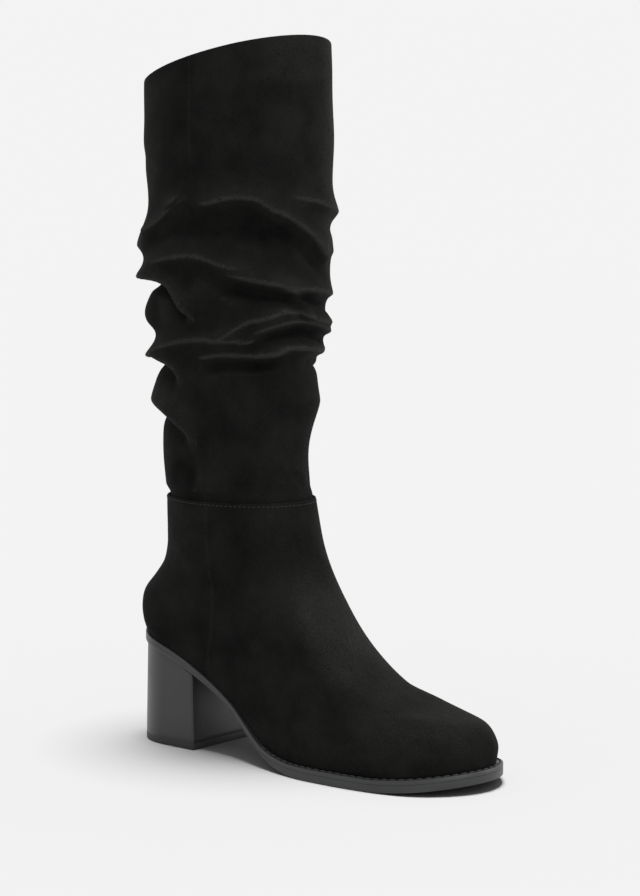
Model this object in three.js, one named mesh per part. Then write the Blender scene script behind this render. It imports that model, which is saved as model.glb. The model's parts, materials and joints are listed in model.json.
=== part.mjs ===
// A right-foot slouch boot with a block heel, in millimetres.
// +X runs to the toe, +Y to the inner side of the foot and +Z up. The floor is z = 0, and the
// origin lies on it under the middle of the heel. A turn round the boot is counted in degrees
// from the back: 90 is the outer side, 180 the front and 270 the inner side.
import * as THREE from "three";

// Driving sizes
const SOLE_LENGTH = 242; // heel back to toe tip, in plan
const BALL_WIDTH = 88; // sole across the ball, over its edges
const HEEL_HEIGHT = 62; // floor to the sole's underside, at the back
const HEEL_LENGTH = 54; // heel back to breast, at the floor
const TOP_PIECE_THICKNESS = 4;
const OUTSOLE_THICKNESS = 4.5; // at the ball
const WELT_THICKNESS = 2.4;
const INSOLE_DEPTH = 0.2; // how far the insole lies below the welt's top
const WELT_LEDGE = 3.4; // what shows of the welt beside the forefoot
const UPPER_WALL = 2;
const SHAFT_WALL = 1.6;
const SEAM_HEIGHT = 150; // floor to the ankle seam
const SEAM_DEPTH = 93.5; // ankle seam, back to front
const SEAM_WIDTH = 79;
const SEAM_BACK = 19.5; // how far forward of the heel's back the ankle seam begins
const COLLAR_HEIGHT = 398; // floor to the middle of the collar
const COLLAR_DEPTH = 115; // collar, back to front
const COLLAR_WIDTH = 98;
const COLLAR_BACK = 6; // how far forward of the heel's back the collar begins
const FOLD_HEIGHT = 7; // how far the boldest fold stands out of the shaft
const FOLD_DROOP = 5; // how far its crest hangs down
const SHAFT_LAP = 8; // what the shaft reaches down inside the ankle seam
const SEAT_GAP = 0.3; // between curved pieces that meet
const HEEL_INSET = 1; // how far the heel stands in under the sole's edge
const HEEL_FLARE = 1.4; // how far its back leans out by the floor
const BREAST_CORNER = 2; // the cut corners of its flat front
const COLLAR_SLOPE = 0.23; // rise over run, the front of the collar standing higher

// How finely the pieces are cut
const AROUND = 44;
const UPPER_RINGS = 17;
const HEEL_RINGS = 5;
const HEEL_SIDE_POINTS = 14;

const heelBack = -HEEL_LENGTH / 2;
const toeTip = heelBack + SOLE_LENGTH;
const breast = heelBack + HEEL_LENGTH;
const ballHalf = BALL_WIDTH / 2;

// The sole from heel to toe. along is a share of its length, half and centre are shares of half the
// ball's width, rise is a share of the heel's height, thick of the outsole's and ledge of the welt's
// ledge. bevel is the underside's slanted edge, as a share of the outsole's thickness.
const SOLE = [
  { along: 0, half: 0.67, centre: 0, rise: 1, thick: 0.6, ledge: 0.3, bevel: 0.1 },
  { along: 0.11, half: 0.68, centre: 0, rise: 0.9, thick: 0.6, ledge: 0.3, bevel: 0.1 },
  { along: 0.22, half: 0.66, centre: 0, rise: 0.72, thick: 0.6, ledge: 0.3, bevel: 0.3 },
  { along: 0.34, half: 0.64, centre: -0.03, rise: 0.445, thick: 0.65, ledge: 0.4, bevel: 0.7 },
  { along: 0.46, half: 0.76, centre: -0.05, rise: 0.105, thick: 0.8, ledge: 0.9, bevel: 0.6 },
  { along: 0.55, half: 0.91, centre: -0.01, rise: 0.008, thick: 1, ledge: 1.1, bevel: 0.2 },
  { along: 0.63, half: 0.98, centre: 0.02, rise: 0, thick: 1, ledge: 1, bevel: 0.1 },
  { along: 0.79, half: 0.985, centre: 0.09, rise: 0, thick: 1, ledge: 1, bevel: 0.1 },
  { along: 0.9, half: 0.87, centre: 0.12, rise: 0.035, thick: 1, ledge: 1, bevel: 0.1 },
  { along: 1, half: 0.76, centre: 0.14, rise: 0.09, thick: 1, ledge: 1, bevel: 0.1 },
];

// How far the ends of the sole's outline round off, as shares of its length
const HEEL_ROUND = 0.12;
const TOE_ROUND = 0.17;

// The last in rings, from the feather line to the ankle seam. front and up are shares of the way
// from the toe to the front of the seam, along and upwards, and back and backUp are the same at the
// heel. foot says how far the ring still has the sole's outline and fall, and swell widens it.
// toeRound and heelRound say how far its ends round off, as shares of its length.
const LAST = [
  { level: 0, front: 0, up: 0, back: 0, backUp: 0,
    foot: 1, swell: 1, toeRound: 0.17, heelRound: 0.12 },
  { level: 0.1, front: -0.02, up: 0.07, back: -0.16, backUp: 0.08,
    foot: 1, swell: 1.05, toeRound: 0.18, heelRound: 0.13 },
  { level: 0.2, front: 0.005, up: 0.146, back: -0.27, backUp: 0.18,
    foot: 0.95, swell: 1.04, toeRound: 0.2, heelRound: 0.15 },
  { level: 0.3, front: 0.06, up: 0.19, back: -0.22, backUp: 0.28,
    foot: 0.85, swell: 0.99, toeRound: 0.23, heelRound: 0.18 },
  { level: 0.4, front: 0.18, up: 0.225, back: 0.18, backUp: 0.39,
    foot: 0.72, swell: 0.94, toeRound: 0.28, heelRound: 0.22 },
  { level: 0.5, front: 0.39, up: 0.29, back: 0.55, backUp: 0.5,
    foot: 0.55, swell: 0.91, toeRound: 0.34, heelRound: 0.28 },
  { level: 0.62, front: 0.61, up: 0.42, back: 0.76, backUp: 0.63,
    foot: 0.35, swell: 0.9, toeRound: 0.4, heelRound: 0.34 },
  { level: 0.75, front: 0.8, up: 0.59, back: 0.9, backUp: 0.76,
    foot: 0.17, swell: 0.96, toeRound: 0.46, heelRound: 0.41 },
  { level: 0.88, front: 0.94, up: 0.78, back: 0.99, backUp: 0.89,
    foot: 0.04, swell: 1, toeRound: 0.49, heelRound: 0.47 },
  { level: 1, front: 1, up: 1, back: 1, backUp: 1,
    foot: 0, swell: 1, toeRound: 0.5, heelRound: 0.5 },
];

// The shaft without its folds, from the ankle seam to the collar. up is a share of its height and
// swell widens it. lean moves it to the back and drift to the outer side, as shares of the seam's
// depth and width, and tilt is a share of the collar's slope.
const SHAFT = [
  { up: 0, swell: 1, lean: 0, drift: 0, tilt: 0 },
  { up: 0.1, swell: 0.98, lean: 0.01, drift: 0.01, tilt: 0 },
  { up: 0.2, swell: 0.99, lean: 0, drift: 0, tilt: 0 },
  { up: 0.3, swell: 1, lean: 0, drift: 0.01, tilt: 0 },
  { up: 0.4, swell: 1.06, lean: -0.01, drift: 0, tilt: 0 },
  { up: 0.5, swell: 1.08, lean: -0.01, drift: 0.01, tilt: 0 },
  { up: 0.6, swell: 1.09, lean: -0.01, drift: 0, tilt: 0.05 },
  { up: 0.7, swell: 1.06, lean: -0.01, drift: 0, tilt: 0.15 },
  { up: 0.82, swell: 1.06, lean: 0, drift: 0, tilt: 0.4 },
  { up: 0.92, swell: 1.025, lean: 0, drift: 0, tilt: 0.75 },
  { up: 1, swell: 1, lean: 0, drift: 0, tilt: 1 },
];

// The folds of the shaft. Each runs from one turn to another, and line gives the height of its
// crest at even steps between them, as shares of the shaft's height, and so are above and below,
// its soft upper side and its steep lower one. rise and hollow, the crease under the crest, are
// shares of the fold height.
const FOLDS = [
  { from: 110, to: 208, rise: 0.7, hollow: 0.7, above: 0.03, below: 0.022,
    line: [0.675, 0.693, 0.687, 0.655, 0.608, 0.55] },
  { from: 155, to: 245, rise: 0.45, hollow: 0.3, above: 0.03, below: 0.022,
    line: [0.692, 0.683, 0.672, 0.658, 0.65] },
  { from: 5, to: 108, rise: 0.7, hollow: 0.3, above: 0.04, below: 0.028,
    line: [0.585, 0.6, 0.645, 0.69] },
  { from: 5, to: 165, rise: 0.75, hollow: 0.2, above: 0.028, below: 0.022,
    line: [0.5, 0.53, 0.556, 0.561, 0.538, 0.542] },
  { from: 108, to: 245, rise: 0.7, hollow: 0.9, above: 0.03, below: 0.018,
    line: [0.52, 0.514, 0.496, 0.484, 0.461, 0.44] },
  { from: 5, to: 106, rise: 0.9, hollow: 0.9, above: 0.026, below: 0.016,
    line: [0.515, 0.5, 0.49, 0.475, 0.38] },
  { from: 5, to: 92, rise: 1.1, hollow: 0.6, above: 0.034, below: 0.02,
    line: [0.397, 0.404, 0.402, 0.38] },
  { from: 160, to: 196, rise: 0.35, hollow: 0.2, above: 0.018, below: 0.016,
    line: [0.482, 0.462, 0.432] },
  { from: 108, to: 240, rise: 0.8, hollow: 0.5, above: 0.026, below: 0.016,
    line: [0.35, 0.4, 0.427, 0.435, 0.41, 0.4] },
  { from: 136, to: 240, rise: 0.6, hollow: 0.8, above: 0.014, below: 0.018,
    line: [0.38, 0.406, 0.408, 0.39, 0.37] },
  { from: 5, to: 128, rise: 0.85, hollow: 0.4, above: 0.022, below: 0.018,
    line: [0.3, 0.325, 0.352, 0.37, 0.376] },
  { from: 158, to: 245, rise: 0.8, hollow: 0.9, above: 0.02, below: 0.014,
    line: [0.372, 0.36, 0.345, 0.34] },
  { from: 92, to: 178, rise: 0.6, hollow: 0.6, above: 0.022, below: 0.016,
    line: [0.318, 0.338, 0.338, 0.344, 0.355] },
  { from: 5, to: 94, rise: 0.6, hollow: 0.6, above: 0.02, below: 0.02,
    line: [0.32, 0.319, 0.309, 0.24] },
  { from: 0, to: 114, rise: 1.2, hollow: 0.7, above: 0.05, below: 0.022,
    line: [0.235, 0.226, 0.208, 0.17, 0.09] },
  { from: 160, to: 250, rise: 0.45, hollow: 0, above: 0.045, below: 0.05,
    line: [0.25, 0.24, 0.226, 0.22] },
  { from: 215, to: 335, rise: 0.7, hollow: 0.6, above: 0.032, below: 0.022,
    line: [0.64, 0.66, 0.655, 0.62] },
  { from: 290, to: 410, rise: 0.7, hollow: 0.6, above: 0.032, below: 0.022,
    line: [0.6, 0.615, 0.6, 0.585] },
  { from: 210, to: 325, rise: 0.7, hollow: 0.7, above: 0.03, below: 0.02,
    line: [0.56, 0.565, 0.55, 0.53] },
  { from: 275, to: 400, rise: 0.9, hollow: 0.9, above: 0.028, below: 0.018,
    line: [0.48, 0.505, 0.515, 0.52] },
  { from: 225, to: 320, rise: 0.7, hollow: 0.7, above: 0.026, below: 0.018,
    line: [0.47, 0.475, 0.46, 0.45] },
  { from: 300, to: 395, rise: 0.8, hollow: 0.7, above: 0.026, below: 0.018,
    line: [0.42, 0.43, 0.435, 0.43] },
  { from: 225, to: 330, rise: 0.8, hollow: 0.7, above: 0.024, below: 0.018,
    line: [0.385, 0.39, 0.38, 0.365] },
  { from: 285, to: 400, rise: 0.7, hollow: 0.7, above: 0.024, below: 0.018,
    line: [0.32, 0.34, 0.335, 0.325] },
  { from: 215, to: 320, rise: 0.6, hollow: 0.5, above: 0.026, below: 0.02,
    line: [0.32, 0.305, 0.3, 0.28] },
  { from: 270, to: 395, rise: 0.8, hollow: 0.6, above: 0.035, below: 0.025,
    line: [0.22, 0.245, 0.25, 0.24] },
];

// Reads one column of a table at a key, by a cubic through the rows on each side.
function read(table, key, column, at) {
  const last = table.length - 1;
  const x = THREE.MathUtils.clamp(at, table[0][key], table[last][key]);
  const found = table.findIndex((row) => row[key] >= x);
  const i = Math.max(found, 1) - 1;
  const slope = (n) => {
    const before = table[Math.max(n - 1, 0)];
    const after = table[Math.min(n + 1, last)];
    return (after[column] - before[column]) / (after[key] - before[key]);
  };
  const [a, b] = [table[i], table[i + 1]];
  const span = b[key] - a[key];
  const t = (x - a[key]) / span;
  const curve = (p, m, q, n) =>
    (2 * t ** 3 - 3 * t ** 2 + 1) * p +
    (t ** 3 - 2 * t ** 2 + t) * m +
    (3 * t ** 2 - 2 * t ** 3) * q +
    (t ** 3 - t ** 2) * n;
  return curve(a[column], slope(i) * span, b[column], slope(i + 1) * span);
}

// Narrows an outline towards its two ends, each rounded over its own reach.
function roundEnds(share, heelReach, toeReach) {
  const arc = (distance, reach) =>
    distance >= reach ? 1 : Math.sqrt(Math.max(0, 1 - (1 - distance / reach) ** 2));
  return arc(share, heelReach) * arc(1 - share, toeReach);
}

// Shares from 0 to 1 in even steps.
const evenly = (count) => Array.from({ length: count }, (_, i) => i / (count - 1));

// The turn of each point of a ring, in radians, and its share of the way from heel to toe.
const turns = Array.from({ length: AROUND }, (_, i) => (i / AROUND) * Math.PI * 2);
const shareOf = (turn) => (1 - Math.cos(turn)) / 2;
const sideOf = (turn) => (Math.abs(Math.sin(turn)) < 1e-9 ? 0 : -Math.sign(Math.sin(turn)));

const solePart = (column, x) => read(SOLE, "along", column, (x - heelBack) / SOLE_LENGTH);
const underside = (x) => HEEL_HEIGHT * Math.max(0, solePart("rise", x));
const outsoleTop = (x) => underside(x) + OUTSOLE_THICKNESS * solePart("thick", x);
const weltTop = (x) => outsoleTop(x) + SEAT_GAP + WELT_THICKNESS;

// A ring on the sole's outline, drawn in by inset(x) and at the height of level(x). Only its ends
// are drawn in lengthways, so that the rings of all layers bend at the same stations.
function soleRing(inset, level) {
  return turns.map((turn) => {
    const share = shareOf(turn);
    const outer = heelBack + share * SOLE_LENGTH;
    const drawnIn = inset(outer);
    const x = outer + drawnIn * Math.cos(turn) ** 7;
    const half = ballHalf * solePart("half", outer) - drawnIn;
    const round = roundEnds(share, HEEL_ROUND, TOE_ROUND);
    const y = ballHalf * solePart("centre", outer) + sideOf(turn) * half * round;
    return new THREE.Vector3(x, y, level(x));
  });
}

// Joins each ring to the next. A wall comes back to its first ring, and a solid has its first and
// last ring closed by strips from side to side.
function meshOfRings(rings, isWall) {
  const count = rings[0].length;
  const faces = [];
  const at = (ring, i) => (ring % rings.length) * count + (i % count);
  const joins = isWall ? rings.length : rings.length - 1;
  for (let ring = 0; ring < joins; ring += 1) {
    for (let i = 0; i < count; i += 1) {
      faces.push(at(ring, i), at(ring, i + 1), at(ring + 1, i + 1));
      faces.push(at(ring, i), at(ring + 1, i + 1), at(ring + 1, i));
    }
  }
  const cap = (ring, up) => {
    const face = (a, b, c) => (up ? faces.push(a, b, c) : faces.push(a, c, b));
    for (let i = 0; i + 1 <= count - i - 1; i += 1) {
      const far = at(ring, count - i - 1);
      if (i + 1 < count - i - 1) face(at(ring, i), at(ring, i + 1), far);
      if (i > 0) face(at(ring, i), far, at(ring, count - i));
    }
  };
  if (!isWall) {
    cap(0, false);
    cap(rings.length - 1, true);
  }
  const geometry = new THREE.BufferGeometry();
  geometry.setAttribute(
    "position",
    new THREE.Float32BufferAttribute(rings.flat().flatMap((p) => [p.x, p.y, p.z]), 3),
  );
  geometry.setIndex(faces);
  geometry.computeVertexNormals();
  return geometry;
}

// The rings inside a set of rings, one wall away, measured square to the surface. The first and the
// last ring are moved level, so that both rims keep their height.
function liningRings(rings, wall) {
  const count = rings[0].length;
  return rings.map((ring, r) =>
    ring.map((point, i) => {
      const round = ring[(i + 1) % count].clone().sub(ring[(i + count - 1) % count]);
      const below = rings[Math.max(r - 1, 0)][i];
      const above = rings[Math.min(r + 1, rings.length - 1)][i];
      const normal = round.cross(above.clone().sub(below));
      if (r === 0 || r === rings.length - 1) normal.z = 0;
      return point.clone().addScaledVector(normal.normalize(), -wall);
    }),
  );
}

const wallOfRings = (rings, wall) =>
  meshOfRings([...rings, ...liningRings(rings, wall).reverse()], true);

// Sole
const BEVEL_PITCH = 0.7; // rise over run of the underside's slanted edge
const bevel = (x) => OUTSOLE_THICKNESS * solePart("bevel", x);
const undersideRing = soleRing(bevel, underside);

// The height of the underside at x, along its flat facets.
function undersideFacets(x) {
  const side = undersideRing.slice(0, AROUND / 2 + 1);
  const next = Math.max(side.findIndex((p) => p.x >= x), 1);
  const [a, b] = [side[next - 1], side[next]];
  return THREE.MathUtils.mapLinear(x, a.x, b.x, a.z, b.z);
}

const flush = () => 0;

function outsole() {
  const edgeFoot = (x) => underside(x) + bevel(x) * BEVEL_PITCH;
  return meshOfRings([undersideRing, soleRing(flush, edgeFoot), soleRing(flush, outsoleTop)], false);
}

const ledge = (x) => WELT_LEDGE * solePart("ledge", x);
const weltInside = (x) => ledge(x) + UPPER_WALL + 2 * SEAT_GAP;

function welt() {
  const foot = (x) => outsoleTop(x) + SEAT_GAP;
  return meshOfRings(
    [
      soleRing(flush, foot),
      soleRing(flush, weltTop),
      soleRing(weltInside, weltTop),
      soleRing(weltInside, foot),
    ],
    true,
  );
}

function insole() {
  const inset = (x) => weltInside(x) + SEAT_GAP;
  const foot = (x) => outsoleTop(x) + SEAT_GAP;
  return meshOfRings(
    [soleRing(inset, foot), soleRing(inset, (x) => weltTop(x) - INSOLE_DEPTH)],
    false,
  );
}

// Heel: a D in plan, round at the back and flat at the breast. up is a share of its height.
function heelRing(up, level) {
  const back = heelBack + HEEL_INSET - HEEL_FLARE * (1 - up);
  const corner = breast - BREAST_CORNER;
  const half = ballHalf * solePart("half", 0) - HEEL_INSET;
  const side = [];
  for (let i = 0; i <= HEEL_SIDE_POINTS; i += 1) {
    const run = (1 - Math.cos((i / HEEL_SIDE_POINTS) * (Math.PI / 2))) * (corner - back);
    side.push([back + run, half * roundEnds(run / SOLE_LENGTH, HEEL_ROUND, TOE_ROUND)]);
  }
  side.push([breast, half - BREAST_CORNER]);
  const point = ([x, y], sign) => new THREE.Vector3(x, sign * y, level(x));
  const outer = side.map((p) => point(p, -1));
  const inner = side.slice(1).map((p) => point(p, 1));
  return [...outer, ...inner.reverse()];
}

function heelBlock() {
  const foot = TOP_PIECE_THICKNESS + SEAT_GAP;
  const head = (x) => undersideFacets(x) - SEAT_GAP;
  const ring = (up) => heelRing(up, (x) => THREE.MathUtils.lerp(foot, head(x), up));
  return meshOfRings(evenly(HEEL_RINGS).map(ring), false);
}

function topPiece() {
  return meshOfRings([heelRing(0, () => 0), heelRing(0, () => TOP_PIECE_THICKNESS)], false);
}

// Upper: the foot, from the welt to the ankle seam
const seamFront = heelBack + SEAM_BACK + SEAM_DEPTH;
const seamMiddle = heelBack + SEAM_BACK + SEAM_DEPTH / 2;
const upperSeat = (x) => weltTop(x) + SEAT_GAP;

function lastRing(level) {
  const at = (column) => read(LAST, "level", column, level);
  const { lerp } = THREE.MathUtils;
  const heelEnd = heelBack + ledge(heelBack);
  const toeEnd = toeTip - ledge(toeTip);
  const back = lerp(heelEnd, heelBack + SEAM_BACK, at("back"));
  const front = lerp(toeEnd, seamFront, at("front"));
  const backZ = lerp(upperSeat(heelEnd), SEAM_HEIGHT, at("backUp"));
  const frontZ = lerp(upperSeat(toeEnd), SEAM_HEIGHT, at("up"));
  const foot = at("foot");
  return turns.map((turn) => {
    const share = shareOf(turn);
    const x = lerp(back, front, share);
    const along = (x - heelEnd) / (toeEnd - heelEnd);
    const fall = upperSeat(x) - lerp(upperSeat(heelEnd), upperSeat(toeEnd), along);
    const soleHalf = ballHalf * solePart("half", x) - ledge(x);
    const half = at("swell") * lerp(SEAM_WIDTH / 2, soleHalf, foot);
    const round = roundEnds(share, at("heelRound"), at("toeRound"));
    const centre = ballHalf * solePart("centre", x) * foot;
    const y = centre + sideOf(turn) * half * round;
    return new THREE.Vector3(x, y, lerp(backZ, frontZ, share) + fall * foot);
  });
}

function upper() {
  return wallOfRings(evenly(UPPER_RINGS).map(lastRing), UPPER_WALL);
}

// Shaft: a slack tube in folds, from inside the ankle seam to the collar. Its rings lie closer where
// the folds are, each step running up to a share of its height.
const SHAFT_STEPS = [
  { to: 0.06, rings: 3 },
  { to: 0.72, rings: 29 },
  { to: 1, rings: 6 },
];
const shaftHeight = COLLAR_HEIGHT - SEAM_HEIGHT;
const collarMiddle = heelBack + COLLAR_BACK + COLLAR_DEPTH / 2;

// The height of a fold's crest at a share of its run.
function crestAt(fold, share) {
  const steps = fold.line.length - 1;
  const knots = fold.line.map((height, i) => ({ share: i / steps, height }));
  return read(knots, "share", "height", share);
}

const CREASE_DROP = 2.1; // a crease lies this many lower-side widths under its crest
const FOLD_FADE = 0.3; // the share of its run over which a fold comes up and dies away
const CLIMB_STEP = 0.05; // the share of a fold's run on each side that gives its climb
const DROOP_FROM = 0.02; // shares of the height between which the droop comes in
const DROOP_FULL = 0.1;

// How far one fold moves the shaft outwards, as a share of the fold height. A crest that climbs
// is measured square to itself, and what it will droop is added to its height first.
function foldShare(fold, turn, up) {
  const { degToRad, smoothstep } = THREE.MathUtils;
  const share = (turn - fold.from) / (fold.to - fold.from);
  if (share <= 0 || share >= 1) return 0;
  const [before, after] = [crestAt(fold, share - CLIMB_STEP), crestAt(fold, share + CLIMB_STEP)];
  const climb = (after - before) * shaftHeight;
  const run = CLIMB_STEP * degToRad(fold.to - fold.from) * COLLAR_DEPTH;
  const crestHeight = crestAt(fold, share) + (fold.rise * FOLD_DROOP) / shaftHeight;
  const off = (up - crestHeight) * Math.cos(Math.atan2(climb, run));
  const bell = (distance, width) => Math.exp(-((distance / width) ** 2));
  const crest = fold.rise * bell(off, off > 0 ? fold.above : fold.below);
  const crease = fold.hollow * bell(off + CREASE_DROP * fold.below, fold.below);
  return (crest - crease) * smoothstep(Math.min(share, 1 - share), 0, FOLD_FADE);
}

function foldsAt(turn, up) {
  const degrees = THREE.MathUtils.radToDeg(turn);
  const one = (fold) => foldShare(fold, degrees, up) + foldShare(fold, degrees + 360, up);
  return FOLDS.reduce((sum, fold) => sum + one(fold), 0);
}

function shaftPoint(turn, up) {
  const at = (column) => read(SHAFT, "up", column, up);
  const { clamp, lerp, smoothstep } = THREE.MathUtils;
  const share = clamp(up, 0, 1);
  const tuck = UPPER_WALL + SEAT_GAP;
  const deep = at("swell") * lerp(SEAM_DEPTH / 2 - tuck, COLLAR_DEPTH / 2, share);
  const wide = at("swell") * lerp(SEAM_WIDTH / 2 - tuck, COLLAR_WIDTH / 2, share);
  const folds = foldsAt(turn, up);
  const out = FOLD_HEIGHT * folds;
  const droop = FOLD_DROOP * Math.max(folds, 0) * smoothstep(up, DROOP_FROM, DROOP_FULL);
  const run = -(deep + out) * Math.cos(turn);
  const x = lerp(seamMiddle, collarMiddle, share) - SEAM_DEPTH * at("lean") + run;
  const y = -(wide + out) * Math.sin(turn) - SEAM_WIDTH * at("drift");
  const z = SEAM_HEIGHT + shaftHeight * up + COLLAR_SLOPE * at("tilt") * run - droop;
  return new THREE.Vector3(x, y, z);
}

function shaft() {
  const levels = [-SHAFT_LAP / shaftHeight, 0];
  SHAFT_STEPS.forEach(({ to, rings }) => {
    const from = levels[levels.length - 1];
    levels.push(...evenly(rings + 1).slice(1).map((share) => from + (to - from) * share));
  });
  const rings = levels.map((up) => turns.map((turn) => shaftPoint(turn, up)));
  return wallOfRings(rings, SHAFT_WALL);
}

// Assembly
const suede = { color: 0x1b1b1a, roughness: 0.95, metalness: 0 };
const soleLeather = { color: 0x2e2e2d, roughness: 0.55, metalness: 0 };
const heelCover = { color: 0x2b2b2a, roughness: 0.45, metalness: 0 };
const rubber = { color: 0x1f1f1f, roughness: 0.7, metalness: 0 };
const liner = { color: 0x2a2725, roughness: 0.9, metalness: 0 };

const boot = new THREE.Group();

function add(name, geometry, finish) {
  const mesh = new THREE.Mesh(geometry, new THREE.MeshStandardMaterial(finish));
  mesh.name = name;
  boot.add(mesh);
}

add("outsole", outsole(), soleLeather);
add("welt", welt(), soleLeather);
add("heel_block", heelBlock(), heelCover);
add("top_piece", topPiece(), rubber);
add("insole", insole(), liner);
add("upper", upper(), suede);
add("shaft", shaft(), suede);

export default boot;
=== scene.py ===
"""A black suede slouch boot with a welted sole and a block heel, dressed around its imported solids.

The frame is in metres: +X to the toe, +Y to the inner side of the foot, +Z up, the floor at z = 0.
Turns go round the boot from its back: 90 degrees is the outer side, 180 degrees the front.
"""

import math

import bpy
import numpy as np
from mathutils import Matrix, Vector, noise
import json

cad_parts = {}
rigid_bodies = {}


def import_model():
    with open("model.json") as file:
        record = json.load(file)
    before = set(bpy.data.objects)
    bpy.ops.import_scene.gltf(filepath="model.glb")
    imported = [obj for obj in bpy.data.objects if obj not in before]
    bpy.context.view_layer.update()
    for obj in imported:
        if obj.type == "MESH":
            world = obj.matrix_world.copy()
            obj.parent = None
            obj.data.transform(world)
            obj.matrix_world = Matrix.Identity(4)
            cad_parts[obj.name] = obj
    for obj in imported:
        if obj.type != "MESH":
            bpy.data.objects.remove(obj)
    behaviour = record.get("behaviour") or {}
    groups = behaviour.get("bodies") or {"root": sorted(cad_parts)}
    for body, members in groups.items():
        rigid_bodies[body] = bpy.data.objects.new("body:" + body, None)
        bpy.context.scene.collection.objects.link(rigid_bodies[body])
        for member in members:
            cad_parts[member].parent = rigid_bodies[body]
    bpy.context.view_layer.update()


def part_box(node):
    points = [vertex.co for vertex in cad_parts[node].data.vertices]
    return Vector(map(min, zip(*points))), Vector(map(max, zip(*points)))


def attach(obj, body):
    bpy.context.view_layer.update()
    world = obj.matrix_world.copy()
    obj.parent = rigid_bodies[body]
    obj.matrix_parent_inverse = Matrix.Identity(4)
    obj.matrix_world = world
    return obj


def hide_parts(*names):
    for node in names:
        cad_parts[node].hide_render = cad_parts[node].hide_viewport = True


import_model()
bpy.ops.object.select_all(action="DESELECT")

# Sizes that the frame gives
heel_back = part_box("outsole")[0].x
toe_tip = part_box("outsole")[1].x
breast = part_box("top_piece")[1].x
lift_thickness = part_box("top_piece")[1].z
sole_length = toe_tip - heel_back

# Sizes of the boot
MM = 0.001
BALL_WIDTH = 88 * MM
HEEL_HEIGHT = 62 * MM
OUTSOLE_THICKNESS = 4.5 * MM
WELT_THICKNESS = 2.4 * MM
WELT_LEDGE = 3.4 * MM
UPPER_WALL = 2 * MM
SEAT_GAP = 0.3 * MM
SEAM_HEIGHT = 150 * MM
SEAM_DEPTH = 93.5 * MM
SEAM_WIDTH = 79 * MM
SEAM_BACK = 19.5 * MM
COLLAR_HEIGHT = 398 * MM
COLLAR_DEPTH = 115 * MM
COLLAR_WIDTH = 98 * MM
COLLAR_BACK = 6 * MM
COLLAR_SLOPE = 0.23
SHAFT_LAP = 8 * MM
HEEL_INSET = 1 * MM
HEEL_FLARE = 1.4 * MM
BREAST_CORNER = 1.2 * MM
BREAST_LEAN = 1.2 * MM
HEEL_ROUND = 0.12
TOE_ROUND = 0.145
BEVEL_PITCH = 0.7

ball_half = BALL_WIDTH / 2
shaft_height = COLLAR_HEIGHT - SEAM_HEIGHT


def table(names, *rows):
    """A short table with named columns."""
    return dict(zip(names.split(), np.array(rows, float).T))


SOLE = table(
    "along half centre rise thick ledge bevel",
    (0, 0.67, 0, 1, 0.6, 0.3, 0.1),
    (0.11, 0.68, 0, 0.9, 0.6, 0.3, 0.1),
    (0.22, 0.66, 0, 0.72, 0.6, 0.3, 0.3),
    (0.34, 0.64, -0.03, 0.445, 0.65, 0.4, 0.7),
    (0.46, 0.76, -0.05, 0.105, 0.8, 0.9, 0.6),
    (0.55, 0.91, -0.01, 0.008, 1, 1.1, 0.2),
    (0.63, 0.98, 0.02, 0, 1, 1, 0.1),
    (0.79, 0.985, 0.09, 0, 1, 1, 0.1),
    (0.9, 0.87, 0.135, 0.035, 1, 1, 0.1),
    (1, 0.76, 0.18, 0.09, 1, 1, 0.1),
)

LAST = table(
    "level front up back backUp foot swell toeRound heelRound",
    (0, 0, 0, 0, 0, 1, 1, 0.145, 0.12),
    (0.1, -0.009, 0.07, -0.16, 0.08, 1, 1.05, 0.162, 0.13),
    (0.2, 0.018, 0.146, -0.27, 0.18, 0.95, 1.04, 0.215, 0.15),
    (0.3, 0.07, 0.19, -0.22, 0.28, 0.85, 0.99, 0.25, 0.18),
    (0.4, 0.18, 0.225, 0.18, 0.39, 0.72, 0.94, 0.28, 0.22),
    (0.5, 0.39, 0.284, 0.55, 0.5, 0.55, 0.91, 0.34, 0.28),
    (0.62, 0.61, 0.42, 0.76, 0.63, 0.35, 0.9, 0.4, 0.34),
    (0.75, 0.8, 0.59, 0.9, 0.76, 0.17, 0.96, 0.46, 0.41),
    (0.88, 0.94, 0.78, 0.99, 0.89, 0.04, 1, 0.49, 0.47),
    (1, 1, 1, 1, 1, 0, 1, 0.5, 0.5),
)

SHAFT = table(
    "up swell lean drift tilt",
    (0, 1, 0, 0, 0),
    (0.1, 0.98, 0.01, 0.01, 0),
    (0.2, 0.99, 0, 0, 0),
    (0.3, 1, 0, 0.01, 0),
    (0.4, 1.06, -0.01, 0, 0),
    (0.5, 1.08, -0.01, 0.01, 0),
    (0.6, 1.09, -0.01, 0, 0.05),
    (0.7, 1.06, -0.01, 0, 0.15),
    (0.82, 1.06, 0, 0, 0.4),
    (0.92, 1.025, 0, 0, 0.75),
    (1, 1, 0, 0, 1),
)


def fold(rise, hollow, above, below, *line, fade=0.3, sharp=1.5):
    """A fold of the shaft: its crest and the crease under it stand out and in by rise and hollow, in
    mm. above and below are the widths of its soft and its steep side, and line is its crest, as
    turns in degrees and shares of the shaft's height. A sharp of 2 makes the crest a round bell."""
    return {"rise": rise, "hollow": hollow, "above": above, "below": below, "line": line,
            "fade": fade, "sharp": sharp}


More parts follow.
